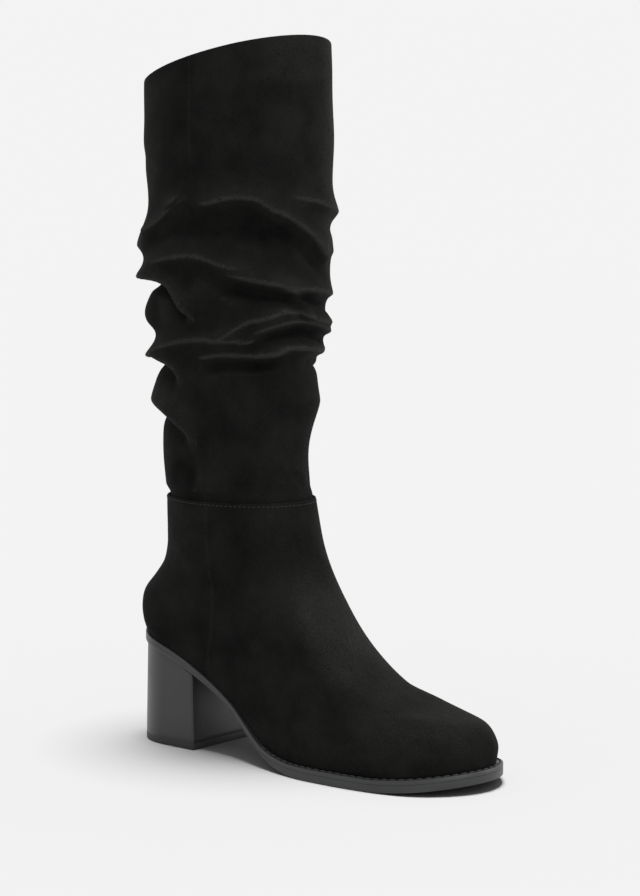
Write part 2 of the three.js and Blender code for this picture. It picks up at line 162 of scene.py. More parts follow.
FOLDS = (
    # the ridge at the back that climbs to the high arch, and the round bulge below it
    fold(4, 2.4, 3.6, 5, (46, 0.622), (54, 0.627), (62, 0.632), (73, 0.648), (80, 0.672),
         (92, 0.705), fade=0.18),
    fold(5, 0, 11, 13, (0, 0.575), (20, 0.59), (40, 0.594), (58, 0.592), (72, 0.588), fade=0.35,
         sharp=2.3),
    # the high arch across the outer side, with its wide hollow
    fold(4.8, 3, 6, 4.5, (97, 0.662), (110, 0.676), (123, 0.686), (137, 0.68), (146, 0.658),
         (159, 0.638), (172, 0.61), (186, 0.565), (200, 0.535), fade=0.12),
    fold(-4.2, 0, 9, 9, (66, 0.61), (90, 0.622), (110, 0.626), (128, 0.624), (146, 0.6), (164, 0.57)),
    fold(3.8, 2, 7, 5, (140, 0.69), (150, 0.69), (166, 0.684), (180, 0.678), (194, 0.668),
         (215, 0.658), (245, 0.65)),
    # the big fold
    fold(4.8, 1.5, 6, 6, (40, 0.512), (50, 0.528), (62, 0.544), (81, 0.556), (98, 0.56), (108, 0.552),
         (117, 0.54), (132, 0.532), (147, 0.535)),
    fold(4.8, 6, 7, 4, (104, 0.512), (110, 0.514), (123, 0.512), (134, 0.505), (147, 0.497),
         (162, 0.49), (175, 0.486), (190, 0.478), (210, 0.47), (232, 0.464)),
    fold(8, 6, 5, 4, (8, 0.522), (40, 0.514), (62, 0.506), (80, 0.49), (86, 0.47), (91, 0.44),
         (95, 0.412), (98, 0.382), fade=0.18),
    # the bulge at the back below it
    fold(5.6, 1, 9, 10, (0, 0.412), (20, 0.42), (40, 0.42), (60, 0.415), sharp=2.2),
    fold(3.2, 2, 3.5, 3, (152, 0.494), (160, 0.482), (168, 0.46), (173, 0.443), (178, 0.425), fade=0.2),
    # the slanting fold from the outer side up to the front
    fold(5, 1, 5, 4, (104, 0.352), (110, 0.37), (122, 0.394), (131, 0.412), (141, 0.42),
         (148, 0.428), (156, 0.437), (171, 0.428), (192, 0.414), (217, 0.407), fade=0.16),
    fold(3.4, 7, 4, 3.5, (120, 0.366), (136, 0.388), (151, 0.403), (168, 0.411), (186, 0.402),
         (198, 0.392), (232, 0.378), fade=0.2),
    # the band under it
    fold(4.8, 0.5, 4.5, 5, (5, 0.315), (40, 0.338), (70, 0.355), (89, 0.367), (108, 0.372), (130, 0.364),
         (152, 0.357), (171, 0.352), (195, 0.346), (220, 0.342), (245, 0.34), fade=0.12),
    fold(-4.2, 0, 4, 4, (172, 0.325), (195, 0.318), (220, 0.316), (245, 0.315)),
    fold(3.9, 3.6, 4, 3.5, (92, 0.312), (97, 0.322), (112, 0.335), (122, 0.336), (138, 0.335),
         (150, 0.339), (164, 0.345), fade=0.22),
    fold(4.4, 3.4, 5, 4, (5, 0.33), (40, 0.333), (59, 0.318), (75, 0.304), (81, 0.278), (84, 0.256),
         (87, 0.235), fade=0.25),
    # the lowest bulge at the back, ending in a dimple above the ankle seam
    fold(7.5, 3, 12, 5, (0, 0.235), (30, 0.226), (63, 0.205), (79, 0.182), (89, 0.155), (94, 0.13),
         (100, 0.106), (106, 0.085)),
    fold(3, 0, 11, 12, (160, 0.25), (180, 0.24), (199, 0.228), (225, 0.222), (250, 0.22)),
    # the inner side
    fold(4.9, 4, 8, 5.5, (215, 0.64), (255, 0.66), (295, 0.655), (335, 0.62)),
    fold(4.9, 4, 8, 5.5, (290, 0.6), (330, 0.615), (370, 0.6), (410, 0.585)),
    fold(4.9, 5, 7.5, 5, (210, 0.56), (248, 0.565), (287, 0.55), (325, 0.53)),
    fold(6.3, 6, 7, 4.5, (275, 0.48), (317, 0.505), (358, 0.515), (400, 0.52)),
    fold(4.9, 5, 6.5, 4.5, (225, 0.47), (257, 0.475), (288, 0.46), (320, 0.45)),
    fold(5.6, 5, 6.5, 4.5, (300, 0.42), (332, 0.43), (363, 0.435), (395, 0.43)),
    fold(5.6, 5, 6, 4.5, (225, 0.385), (260, 0.39), (295, 0.38), (330, 0.365)),
    fold(4.9, 5, 6, 4.5, (285, 0.32), (323, 0.34), (362, 0.335), (400, 0.325)),
    fold(4.2, 3.5, 6.5, 5, (215, 0.32), (250, 0.305), (285, 0.3), (320, 0.28)),
    fold(5.6, 4, 9, 6, (270, 0.22), (312, 0.245), (353, 0.25), (395, 0.24)),
)

# Finer ridges and troughs, which run any way across the folds. A trough has a rise below nought.
CREASES = (
    fold(1.6, 0, 4, 4, (101, 0.528), (100, 0.505), (98, 0.48), (95, 0.45)),
    fold(0.9, 0, 4, 4, (113, 0.475), (118, 0.46), (124, 0.442)),
    fold(-1, 0, 1.6, 1.6, (99, 0.748), (95, 0.72), (89, 0.698), (78, 0.675), (68, 0.66)),
    fold(0.9, 0, 2.6, 2.6, (101, 0.752), (97, 0.722), (91, 0.702), (80, 0.68)),
    fold(-0.9, 0, 1.5, 1.5, (90, 0.69), (92, 0.678), (94, 0.655), (98, 0.626)),
    fold(0.8, 0, 2.2, 2.2, (87, 0.69), (89, 0.678), (91, 0.652), (95, 0.624)),
    fold(1.2, 0, 5, 5, (106, 0.09), (109, 0.06), (107, 0.03), (103, 0)),
    fold(-3.2, 0, 9, 9, (66, 0.085), (80, 0.07), (92, 0.055), (97, 0.045)),
    fold(1.1, 0.8, 4, 3, (172, 0.075), (182, 0.07), (192, 0.05), (200, 0.02)),
    fold(0.8, 0.6, 9, 7, (120, 0.25), (140, 0.262), (160, 0.255), (176, 0.24)),
    fold(0.7, 0.5, 8, 7, (112, 0.185), (135, 0.2), (158, 0.19)),
    fold(-1.2, 0, 6, 6, (25, 0.82), (42, 0.8), (60, 0.77), (74, 0.75)),
    fold(0.7, 0, 7, 7, (120, 0.8), (128, 0.77), (136, 0.73)),
    fold(-0.7, 0, 7, 7, (105, 0.85), (110, 0.8), (117, 0.75)),
    fold(-0.8, 0, 9, 9, (160, 0.83), (172, 0.78), (180, 0.74)),
)


# Curves and surfaces
def read(rows, key, column, at):
    """Reads one column of a table at a key, by a cubic through the rows on each side."""
    keys, values = rows[key], rows[column]
    last = len(keys) - 1
    before = np.maximum(np.arange(last + 1) - 1, 0)
    after = np.minimum(np.arange(last + 1) + 1, last)
    slopes = (values[after] - values[before]) / (keys[after] - keys[before])
    x = np.clip(at, keys[0], keys[-1])
    i = np.clip(np.searchsorted(keys, x) - 1, 0, last - 1)
    span = keys[i + 1] - keys[i]
    t = (x - keys[i]) / span
    start = (2 * t**3 - 3 * t**2 + 1) * values[i] + (t**3 - 2 * t**2 + t) * slopes[i] * span
    end = (3 * t**2 - 2 * t**3) * values[i + 1] + (t**3 - t**2) * slopes[i + 1] * span
    return start + end


def smooth(value, low, high):
    """Nought below low and one above high, with a soft step between."""
    t = np.clip((value - low) / (high - low), 0, 1)
    return t * t * (3 - 2 * t)


def bell(value, middle, width):
    """One at the middle, falling off softly over the width on both sides."""
    return np.exp(-(((value - middle) / width) ** 2))


def arc(distance, reach):
    """A quarter round: nought at an end and one from the reach inwards."""
    inner = np.clip(1 - distance / reach, 0, 1)
    return np.sqrt(1 - inner**2)


def round_ends(share, heel_reach, toe_reach):
    """Narrows an outline towards its two ends, each rounded over its own reach."""
    return arc(share, heel_reach) * arc(1 - share, toe_reach)


def side_of(turn):
    """One on the inner side of the boot, minus one on the outer side."""
    return -np.sign(np.round(np.sin(turn), 9))


def sole(column, x):
    return read(SOLE, "along", column, (x - heel_back) / sole_length)


def underside(x):
    return HEEL_HEIGHT * np.maximum(0, sole("rise", x))


def outsole_top(x):
    return underside(x) + OUTSOLE_THICKNESS * sole("thick", x)


def welt_foot(x):
    return outsole_top(x) + SEAT_GAP


def welt_top(x):
    return welt_foot(x) + WELT_THICKNESS


def upper_seat(x):
    return welt_top(x) + SEAT_GAP


def ledge(x):
    return WELT_LEDGE * sole("ledge", x)


def sole_ring(turns, inset, level, width=1.0):
    """A ring on the sole's outline, drawn in by inset(x), narrowed to width, at the height level(x)."""
    share = (1 - np.cos(turns)) / 2
    outer = heel_back + share * sole_length
    drawn = inset(outer)
    x = outer + drawn * np.cos(turns) ** 7
    half = ball_half * sole("half", outer) - drawn
    around = side_of(turns) * half * round_ends(share, HEEL_ROUND, TOE_ROUND)
    return np.stack([x, ball_half * sole("centre", outer) + around * width, level(x)], -1)


def last_net(turns, levels):
    """The outside of the foot, from the feather line at level 0 to the ankle seam at level 1."""
    at = lambda column: read(LAST, "level", column, levels)
    seam_front = heel_back + SEAM_BACK + SEAM_DEPTH
    heel_end = heel_back + ledge(heel_back)
    toe_end = toe_tip - ledge(toe_tip)
    mix = lambda low, high, share: low + (high - low) * share
    back = mix(heel_end, heel_back + SEAM_BACK, at("back"))
    front = mix(toe_end, seam_front, at("front"))
    back_z = mix(upper_seat(heel_end), SEAM_HEIGHT, at("backUp"))
    front_z = mix(upper_seat(toe_end), SEAM_HEIGHT, at("up"))
    foot = at("foot")
    share = (1 - np.cos(turns)) / 2
    x = mix(back, front, share)
    along = (x - heel_end) / (toe_end - heel_end)
    fall = upper_seat(x) - mix(upper_seat(heel_end), upper_seat(toe_end), along)
    sole_half = ball_half * sole("half", x) - ledge(x)
    half = at("swell") * mix(SEAM_WIDTH / 2, sole_half, foot)
    y = ball_half * sole("centre", x) * foot
    y = y + side_of(turns) * half * round_ends(share, at("heelRound"), at("toeRound"))
    return np.stack([x, y, mix(back_z, front_z, share) + fall * foot], -1)


MM_PER_DEGREE = 0.91  # the way round the shaft
HANG = 0.5  # how far a crest droops, for each mm that it stands out
CREASE_DROP = 2.1  # a crease lies this many lower-side widths under its crest
SLACK_OUT = 0.6 * MM  # how much fuller the shaft sits over the ankle seam
SLACK_BACK = 1.6 * MM  # how far it sits back there
SLACK_ASIDE = 0.8 * MM  # and how far to the outer side
SPOTS_AT_ONCE = 400000  # spots times steps of a line that are worked out in one go


def curve_through(points, step=1.0):
    """A smooth line through a few points, cut every step."""
    points = np.array(points, float)
    way = np.r_[0, np.cumsum(np.linalg.norm(np.diff(points, axis=0), axis=1))]
    rows = {"way": way, "s": points[:, 0], "z": points[:, 1]}
    at = np.linspace(0, way[-1], max(8, int(way[-1] / step)))
    return np.stack([read(rows, "way", "s", at), read(rows, "way", "z", at)], -1)


def one_fold(row, spot):
    """How far one fold moves the spots outwards, in mm. A spot is its way round and its height."""
    up_mm = shaft_height / MM
    droop = HANG * max(row["rise"], 0)
    line = curve_through([(turn * MM_PER_DEGREE, up * up_mm + droop) for turn, up in row["line"]])
    reach = 3 * max(row["above"], row["below"] * 2)
    low, high = line.min(0) - reach, line.max(0) + reach
    near = np.nonzero(np.all((spot > low) & (spot < high), axis=1))[0]
    out = np.zeros(len(spot))
    if not len(near):
        return out
    start, step = line[:-1], np.diff(line, axis=0)
    length = np.linalg.norm(step, axis=1)
    for part in np.array_split(near, len(near) * len(step) // SPOTS_AT_ONCE + 1):
        gap = spot[part][:, None, :] - start[None]
        t = np.clip((gap * step).sum(2) / length**2, 0, 1)
        away = gap - t[:, :, None] * step
        distance = np.linalg.norm(away, axis=2)
        best = distance.argmin(1)
        pick = np.arange(len(part))
        side = step[best, 0] * away[pick, best, 1] - step[best, 1] * away[pick, best, 0]
        off = distance[pick, best] * np.where(side >= 0, 1, -1)
        share = (np.cumsum(length)[best] - length[best] * (1 - t[pick, best])) / length.sum()
        width = np.where(off > 0, row["above"], row["below"])
        crest = row["rise"] * np.exp(-np.abs(off / width) ** row["sharp"])
        crease = row["hollow"] * bell(off, -CREASE_DROP * row["below"], row["below"])
        ends = smooth(np.minimum(share, 1 - share), 0, row["fade"])
        out[part] = (crest - crease) * ends
    return out


def relief_of(turns, ups, rows):
    """The sum of the folds at each turn and share of the height, in mm."""
    shape = np.broadcast(turns, ups).shape
    turn = np.broadcast_to(np.degrees(turns), shape).ravel()
    height = np.broadcast_to(ups, shape).ravel() * shaft_height / MM
    total = np.zeros(turn.size)
    for row in rows:
        for lap in (0, 360):
            spot = np.stack([(turn + lap) * MM_PER_DEGREE, height], -1)
            total += one_fold(row, spot)
    return total.reshape(shape)


def shaft_net(turns, ups):
    """The outside of the shaft, and how far the folds move it outwards, in mm."""
    at = lambda column: read(SHAFT, "up", column, ups)
    share = np.clip(ups, 0, 1)
    tuck = UPPER_WALL + SEAT_GAP
    mix = lambda low, high: low + (high - low) * share
    deep = at("swell") * mix(SEAM_DEPTH / 2 - tuck, COLLAR_DEPTH / 2)
    wide = at("swell") * mix(SEAM_WIDTH / 2 - tuck, COLLAR_WIDTH / 2)
    folds = relief_of(turns, ups, FOLDS)
    fine = relief_of(turns, ups, CREASES)
    low_end = smooth(ups, 0.0, 0.03)
    out = (folds + fine) * MM * low_end
    droop = HANG * np.maximum(folds, 0) * MM * smooth(ups, 0.02, 0.1)
    slack = smooth(ups, 0.0, 0.025) * (1 - smooth(ups, 0.12, 0.32))
    out = out + SLACK_OUT * slack
    run = -(deep + out) * np.cos(turns)
    seam_middle = heel_back + SEAM_BACK + SEAM_DEPTH / 2
    collar_middle = heel_back + COLLAR_BACK + COLLAR_DEPTH / 2
    x = mix(seam_middle, collar_middle) - SEAM_DEPTH * at("lean") + run - SLACK_BACK * slack
    y = -(wide + out) * np.sin(turns) - SEAM_WIDTH * at("drift") - SLACK_ASIDE * slack
    z = SEAM_HEIGHT + shaft_height * ups + COLLAR_SLOPE * at("tilt") * run - droop
    return np.stack([x, y, z], -1), folds + fine


# Modelling
def net_normals(net):
    """The outward direction at each point of a net that closes round and is open at its two ends."""
    around = np.roll(net, -1, axis=1) - np.roll(net, 1, axis=1)
    along = np.empty_like(net)
    along[1:-1] = net[2:] - net[:-2]
    along[0] = net[1] - net[0]
    along[-1] = net[-1] - net[-2]
    normal = np.cross(around, along)
    size = np.linalg.norm(normal, axis=2, keepdims=True)
    return normal / np.maximum(size, 1e-12)


def only(piece):
    """Makes a piece the only one selected, and the active one."""
    bpy.ops.object.select_all(action="DESELECT")
    piece.select_set(True)
    bpy.context.view_layer.objects.active = piece


def wrapped(name, net, joined=False):
    """A flat panel, cut to the net's rows and columns, wrapped round and sewn where its ends meet.
    A joined one also has its last row sewn to its first."""
    net = np.asarray(net)
    rows, columns = net.shape[:2]
    steps = rows if joined else rows - 1
    bpy.ops.mesh.primitive_grid_add(x_subdivisions=columns, y_subdivisions=steps, size=1)
    piece = bpy.context.object
    piece.name = name
    flat = np.empty(len(piece.data.vertices) * 3)
    piece.data.vertices.foreach_get("co", flat)
    flat = flat.reshape(-1, 3)
    column = np.rint((flat[:, 0] + 0.5) * columns).astype(int) % columns
    row = np.rint((flat[:, 1] + 0.5) * steps).astype(int) % rows
    piece.data.vertices.foreach_set("co", net[row, column].ravel())
    only(piece)
    bpy.ops.object.mode_set(mode="EDIT")
    bpy.ops.mesh.select_all(action="SELECT")
    bpy.ops.mesh.remove_doubles(threshold=1e-6)
    bpy.ops.mesh.dissolve_degenerate(threshold=1e-7)
    if joined:
        bpy.ops.mesh.normals_make_consistent(inside=False)
    bpy.ops.object.mode_set(mode="OBJECT")
    piece.data.update()
    return piece


def seal(piece):
    """Turns the faces of a closed piece outwards."""
    only(piece)
    bpy.ops.object.mode_set(mode="EDIT")
    bpy.ops.mesh.select_all(action="SELECT")
    bpy.ops.mesh.normals_make_consistent(inside=False)
    bpy.ops.object.mode_set(mode="OBJECT")


def thicken(piece, wall):
    """Gives a sheet its wall, inwards from its face."""
    only(piece)
    modifier = piece.modifiers.new("Solidify", "SOLIDIFY")
    modifier.thickness = wall
    modifier.offset = -1
    modifier.use_rim = True
    bpy.ops.object.modifier_apply(modifier=modifier.name)
    seal(piece)


def points_of(piece):
    flat = np.empty(len(piece.data.vertices) * 3)
    piece.data.vertices.foreach_get("co", flat)
    return flat.reshape(-1, 3)


def hand_over(piece, material, slot, *nodes, angle=40):
    """Shades a finished piece, gives it its material and ties it to the boot's body."""
    only(piece)
    bpy.ops.object.shade_smooth_by_angle(angle=math.radians(angle))
    piece.data.materials.clear()
    piece.data.materials.append(material)
    if nodes:
        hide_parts(*nodes)
    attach(piece, "root")


# Shader node groups
def socket(tree, name, kind="NodeSocketFloat", default=None, output=False):
    made = tree.interface.new_socket(name=name, in_out="OUTPUT" if output else "INPUT", socket_type=kind)
    if default is not None:
        made.default_value = default


def node(tree, kind, links=None, **settings):
    """Adds a node. settings are its own values, and links are values or sockets for its inputs."""
    made = tree.nodes.new(kind)
    for key, value in settings.items():
        setattr(made, key, value)
    for key, value in (links or {}).items():
        target = made.inputs[key]
        if isinstance(value, bpy.types.NodeSocket):
            tree.links.new(value, target)
        else:
            target.default_value = value
    return made


def new_group(name, inputs, outputs):
    tree = bpy.data.node_groups.new(name, "ShaderNodeTree")
    for label, kind, default in inputs:
        socket(tree, label, kind, default)
    for label, kind in outputs:
        socket(tree, label, kind, output=True)
    start = tree.nodes.new("NodeGroupInput")
    end = tree.nodes.new("NodeGroupOutput")
    return tree, start.outputs, end.inputs


def noise_of(tree, place, scale, detail=3.0, roughness=0.55):
    made = node(tree, "ShaderNodeTexNoise", {"Vector": place, "Scale": scale, "Detail": detail,
                                             "Roughness": roughness})
    return made.outputs["Fac"]


def reach(tree, value, low, high, to_low=0.0, to_high=1.0):
    """Stretches a value between low and high to the range between to_low and to_high."""
    made = node(tree, "ShaderNodeMapRange", {"Value": value, "From Min": low, "From Max": high,
                                             "To Min": to_low, "To Max": to_high})
    return made.outputs["Result"]


def sum_of(tree, kind, first, second):
    """Adds or multiplies two values."""
    made = node(tree, "ShaderNodeMath", {0: first, 1: second}, operation=kind)
    return made.outputs["Value"]


def make_nap():
    """Suede's nap: patches that lie this way and that, and the fine grain of the hairs."""
    tree, given, out = new_group(
        "nap",
        [("Patch Size", "NodeSocketFloat", 60.0), ("Grain Size", "NodeSocketFloat", 1500.0)],
        [("Patches", "NodeSocketFloat"), ("Grain", "NodeSocketFloat"), ("Height", "NodeSocketFloat")],
    )
    place = node(tree, "ShaderNodeTexCoord").outputs["Object"]
    broad = noise_of(tree, place, given["Patch Size"], 4.0, 0.6)
    tree.links.new(reach(tree, broad, 0.32, 0.68), out["Patches"])
    grain = noise_of(tree, place, given["Grain Size"], 3.0, 0.7)
    tree.links.new(reach(tree, grain, 0.33, 0.67), out["Grain"])
    coarse = sum_of(tree, "MULTIPLY", noise_of(tree, place, 420.0, 3.0, 0.6), 0.6)
    tree.links.new(sum_of(tree, "ADD", coarse, grain), out["Height"])
    return tree


def make_leather_grain():
    """The fine pebble of smooth leather."""
    tree, given, out = new_group(
        "leather_grain",
        [("Pebble Size", "NodeSocketFloat", 900.0)],
        [("Height", "NodeSocketFloat"), ("Blotches", "NodeSocketFloat")],
    )
    place = node(tree, "ShaderNodeTexCoord").outputs["Object"]
    pebble = node(tree, "ShaderNodeTexVoronoi", {"Vector": place, "Scale": given["Pebble Size"]})
    tree.links.new(pebble.outputs["Distance"], out["Height"])
    tree.links.new(reach(tree, noise_of(tree, place, 45.0), 0.3, 0.7), out["Blotches"])
    return tree


nap_group = make_nap()
grain_group = make_leather_grain()


def placed(tree, group, **values):
    """Puts a node group in a material with its own values."""
    made = node(tree, "ShaderNodeGroup", node_tree=group)
    for key, value in values.items():
        made.inputs[key.replace("_", " ")].default_value = value
    return made.outputs


def shades(tree, fac, dark, light):
    """Mixes two colours by a value."""
    made = node(tree, "ShaderNodeMix", data_type="RGBA")
    tree.links.new(fac, made.inputs[0])
    made.inputs[6].default_value = (*dark, 1)
    made.inputs[7].default_value = (*light, 1)
    return made.outputs[2]


def new_material(name, **values):
    material = bpy.data.materials.new(name)
    material.use_nodes = True
    shader = material.node_tree.nodes["Principled BSDF"]
    for key, value in values.items():
        shader.inputs[key.replace("_", " ")].default_value = value
    return material, material.node_tree, shader


def bumped(tree, shader, height, strength, distance):
    bump = node(tree, "ShaderNodeBump", {"Height": height, "Strength": strength, "Distance": distance})
    tree.links.new(bump.outputs["Normal"], shader.inputs["Normal"])


# Materials
NAP_DEPTH = 0.4 * MM
PEBBLE_DEPTH = 0.1 * MM


def suede():
    """Black suede: dull, with a soft sheen at grazing angles, paler where the nap is worn by rubbing and
    where painted highlights lie, darker where painted shade lies.
    """
    material, tree, shader = new_material(
        "black_suede", Roughness=1.0, Sheen_Weight=0.035, Sheen_Roughness=0.3,
        Sheen_Tint=(0.8, 0.8, 0.76, 1), Specular_IOR_Level=0.03,
    )
    nap = placed(tree, nap_group, Patch_Size=38.0, Grain_Size=1500.0)
    # the attribute holds nap worn pale by rubbing together with painted highlights and painted shade
    rub_and_painted_light = node(tree, "ShaderNodeAttribute", attribute_name="rub_and_painted_light").outputs["Fac"]
    speckle = sum_of(tree, "MULTIPLY", rub_and_painted_light, nap["Grain"])
    mixed = sum_of(tree, "MULTIPLY", nap["Patches"], 0.2)
    grained = sum_of(tree, "ADD", mixed, sum_of(tree, "MULTIPLY", nap["Grain"], 0.14))
    even = sum_of(tree, "MULTIPLY", rub_and_painted_light, 0.1)
    rub_and_painted_light_lift = sum_of(tree, "ADD", sum_of(tree, "MULTIPLY", speckle, 0.78), even)
    lifted = sum_of(tree, "ADD", grained, rub_and_painted_light_lift)
    colour = shades(tree, lifted, (0.0034, 0.0034, 0.0033), (0.031, 0.0308, 0.0292))
    tree.links.new(colour, shader.inputs["Base Color"])
    bumped(tree, shader, nap["Height"], 0.55, NAP_DEPTH)
    return material


def smooth_leather(name, dark, light, roughness, pebble):
    """Smooth leather or a covered edge, with a fine pebble and a slightly uneven polish."""
    material, tree, shader = new_material(name)
    grain = placed(tree, grain_group, Pebble_Size=pebble)
    tree.links.new(shades(tree, grain["Blotches"], dark, light), shader.inputs["Base Color"])
    polish = reach(tree, grain["Blotches"], 0.0, 1.0, roughness - 0.05, roughness + 0.06)
    tree.links.new(polish, shader.inputs["Roughness"])
    bumped(tree, shader, grain["Height"], 0.2, PEBBLE_DEPTH)
    return material


SUEDE = suede()
LINING = smooth_leather("black_lining", (0.012, 0.011, 0.01), (0.022, 0.02, 0.018), 0.6, 700.0)
SOLE_EDGE = smooth_leather("sole_edge", (0.0152, 0.0157, 0.0169), (0.0226, 0.0234, 0.025), 0.43, 1100.0)
HEEL_COVER = smooth_leather("heel_cover", (0.0132, 0.0132, 0.013), (0.0184, 0.0184, 0.018), 0.37, 1300.0)
RUBBER = smooth_leather("top_piece_rubber", (0.011, 0.011, 0.011), (0.016, 0.016, 0.016), 0.62, 800.0)
THREAD = smooth_leather("black_thread", (0.009, 0.009, 0.009), (0.016, 0.016, 0.016), 0.7, 2500.0)
FINE_THREAD = smooth_leather("fine_thread", (0.0105, 0.0105, 0.0105), (0.017, 0.017, 0.017), 0.8, 2500.0)


# Camera
CAMERA_PLACE = (0.894, -0.9599, 0.303)
CAMERA_YAW = math.radians(39.63)
CAMERA_FALL = math.radians(5.6)
CAMERA_ROLL = math.radians(0.17)
CAMERA_LENS = 88.7


def set_view():
    bpy.context.scene.view_settings.view_transform = "Standard"


def set_camera():
    ahead = Vector((
        -math.sin(CAMERA_YAW) * math.cos(CAMERA_FALL),
        math.cos(CAMERA_YAW) * math.cos(CAMERA_FALL),
        -math.sin(CAMERA_FALL),
    ))
    level = Vector((math.cos(CAMERA_YAW), math.sin(CAMERA_YAW), 0))
    above = level.cross(ahead)
    right = level * math.cos(CAMERA_ROLL) + above * math.sin(CAMERA_ROLL)
    top = above * math.cos(CAMERA_ROLL) - level * math.sin(CAMERA_ROLL)
    bpy.ops.object.camera_add()
    camera = bpy.context.object
    camera.name = "camera"
    turned = Matrix((right, top, -ahead)).transposed().to_4x4()
    camera.matrix_world = Matrix.Translation(CAMERA_PLACE) @ turned
    camera.data.lens = CAMERA_LENS
    camera.data.sensor_width = 36
    camera.data.clip_end = 20
    bpy.context.scene.camera = camera


set_view()
set_camera()


# Columns and rows
def even_turns(count):
    return np.arange(count) * 2 * math.pi / count


def with_seam(turns, seam, offsets):
    """Moves the columns nearest a seam to set places on both sides of it, so that it can be raised."""
    middle = int(np.argmin(np.abs(turns - seam)))
    for i, offset in zip(range(middle - len(offsets) // 2, middle + len(offsets) // 2 + 1), offsets):
        turns[i] = seam + offset
    return turns


def stepped(*stops):
    """Levels in even steps between stops, each stop a level and the number of steps up to it."""
    levels = [stops[0][0]]
    for level, count in stops[1:]:
        levels.extend(np.linspace(levels[-1], level, count + 1)[1:])
    return np.array(levels)


def turned_edge(net, width, hem):
    """Rows that turn a net's last row over inwards, in a half round, and then down inside as a hem."""
    normals = net_normals(net)
    normal = normals[-1].copy()
    normal[:, 2] = 0
    normal /= np.linalg.norm(normal, axis=1, keepdims=True)
    up = np.array([0, 0, 1.0])
    rows = []
    for angle in np.linspace(0, math.pi, 7)[1:]:
        inwards = normal * width / 2 * (1 - math.cos(angle))
        rows.append(net[-1] - inwards + up * width / 2 * math.sin(angle))
    for i in range(1, hem + 1):
        rows.append(net[-1 - i] - normals[-1 - i] * width)
    return np.stack(rows)


def unevenness(net, scale):
    """A soft, steady swell and sink over a net, between minus one and one."""
    swell = [noise.noise(Vector(point) * scale) for point in net.reshape(-1, 3)]
    return np.reshape(swell, net.shape[:2])


# Shaft
SHAFT_COLUMNS = 196
SHAFT_WALL = 0.8 * MM  # the suede alone; the lining is a piece of its own
COLLAR_EDGE = 1.9 * MM
COLLAR_HEM = 4  # rows that the turned edge reaches down inside
OUTER_SEAM = math.radians(97)
INNER_SEAM = math.radians(263)
SEAM_RADIUS = 52 * MM  # of the shaft at its seams
SHAFT_SWELL = 0.5 * MM
SEAM_DEEP = 0.8  # how much of the seams' full relief the shaft shows
LINING_GAP = 0.35 * MM
SHAFT_LINING = 0.4 * MM


def shaft_turns():
    turns = even_turns(SHAFT_COLUMNS)
    offsets = [math.radians(value) for value in (-2.6, -1.1, 0, 1.1, 2.6)]
    return with_seam(with_seam(turns, OUTER_SEAM, offsets), INNER_SEAM, offsets)


def seam_relief(turns, seam):
    """A fine groove where two panels meet, with the turned edges a little proud of it, in mm."""
    off = (turns - seam) * SEAM_RADIUS / MM
    return 0.1 * bell(off, 0, 1.8) - 0.25 * bell(off, 0, 0.6)


def crispness(net, normals):
    """How sharply a surface turns outwards along its height or around it, per metre."""
    turned = []
    for axis in (0, 1):
        step = np.roll(net, -1, axis) - np.roll(net, 1, axis)
        change = np.roll(normals, -1, axis) - np.roll(normals, 1, axis)
        turned.append((change * step).sum(2) / np.maximum((step**2).sum(2), 1e-9))
    sharp = np.maximum(turned[0], turned[1])
    sharp[[0, -1]] = 0
    return sharp


def shaft_rub_and_painted_light(turns, ups, relief, crisp):
    """How much paler the suede is painted: worn pale by rubbing below the front of the collar and on the
    seams; along the front, worn pale and also given a painted sheen at the boot's edge; painted
    highlights on the crests and on the folds that stand out; and painted shade in the hollows, where it
    is less than nought."""
    degrees = np.degrees(turns)
    # along the front: nap worn pale by rubbing, with a painted sheen at the boot's edge on top
    front = bell(degrees, 205, 19) * smooth(ups, 0.35, 0.7) * 0.55
    collar = bell(degrees, 160, 20) * smooth(ups, 0.9, 0.93) * 0.3
    # painted highlight on the folds that stand out
    band = smooth(relief, 1.0, 5.5) * 0.26
    # painted shade in the hollows
    hollows = smooth(-relief, 0.3, 4) * 0.15
    # painted highlight along the sharp crests
    crests = smooth(crisp, 90, 360) * smooth(relief, -2, 1)
    seams = bell(degrees, math.degrees(OUTER_SEAM), 0.5) * smooth(np.abs(ups - 0.45), 0.22, 0.35) * 0.2
    return np.clip(front + collar + band + crests + seams - hollows, -0.15, 1)


def make_shaft():
    """The suede of the shaft: its folds, its side seams and its collar's turned edge."""
    turns = shaft_turns()[None, :]
    ups = stepped((-SHAFT_LAP / shaft_height, 0), (0, 5), (0.72, 182), (0.985, 30), (1, 2))[:, None]
    net, relief = shaft_net(turns, ups)
    normals = net_normals(net)
    seams = seam_relief(turns, OUTER_SEAM) + seam_relief(turns, INNER_SEAM)
    lift = unevenness(net, 38.0) * SHAFT_SWELL + seams * SEAM_DEEP * MM
    net = net + normals * lift[:, :, None]
    # how pale the suede is worn, together with the painted highlights and painted shade of the shaft
    rub_and_painted_light = shaft_rub_and_painted_light(turns, ups, relief, crispness(net, normals))
    edge = turned_edge(net, COLLAR_EDGE, COLLAR_HEM)
    whole = np.concatenate([net, edge])
    piece = wrapped("shaft_suede", whole)
    values = np.concatenate([rub_and_painted_light, np.repeat(rub_and_painted_light[-1:], len(edge), axis=0)])
    paint_net(piece, "rub_and_painted_light", whole, values)
    thicken(piece, SHAFT_WALL)
    hand_over(piece, SUEDE, "suede", "shaft", angle=60)
    return net


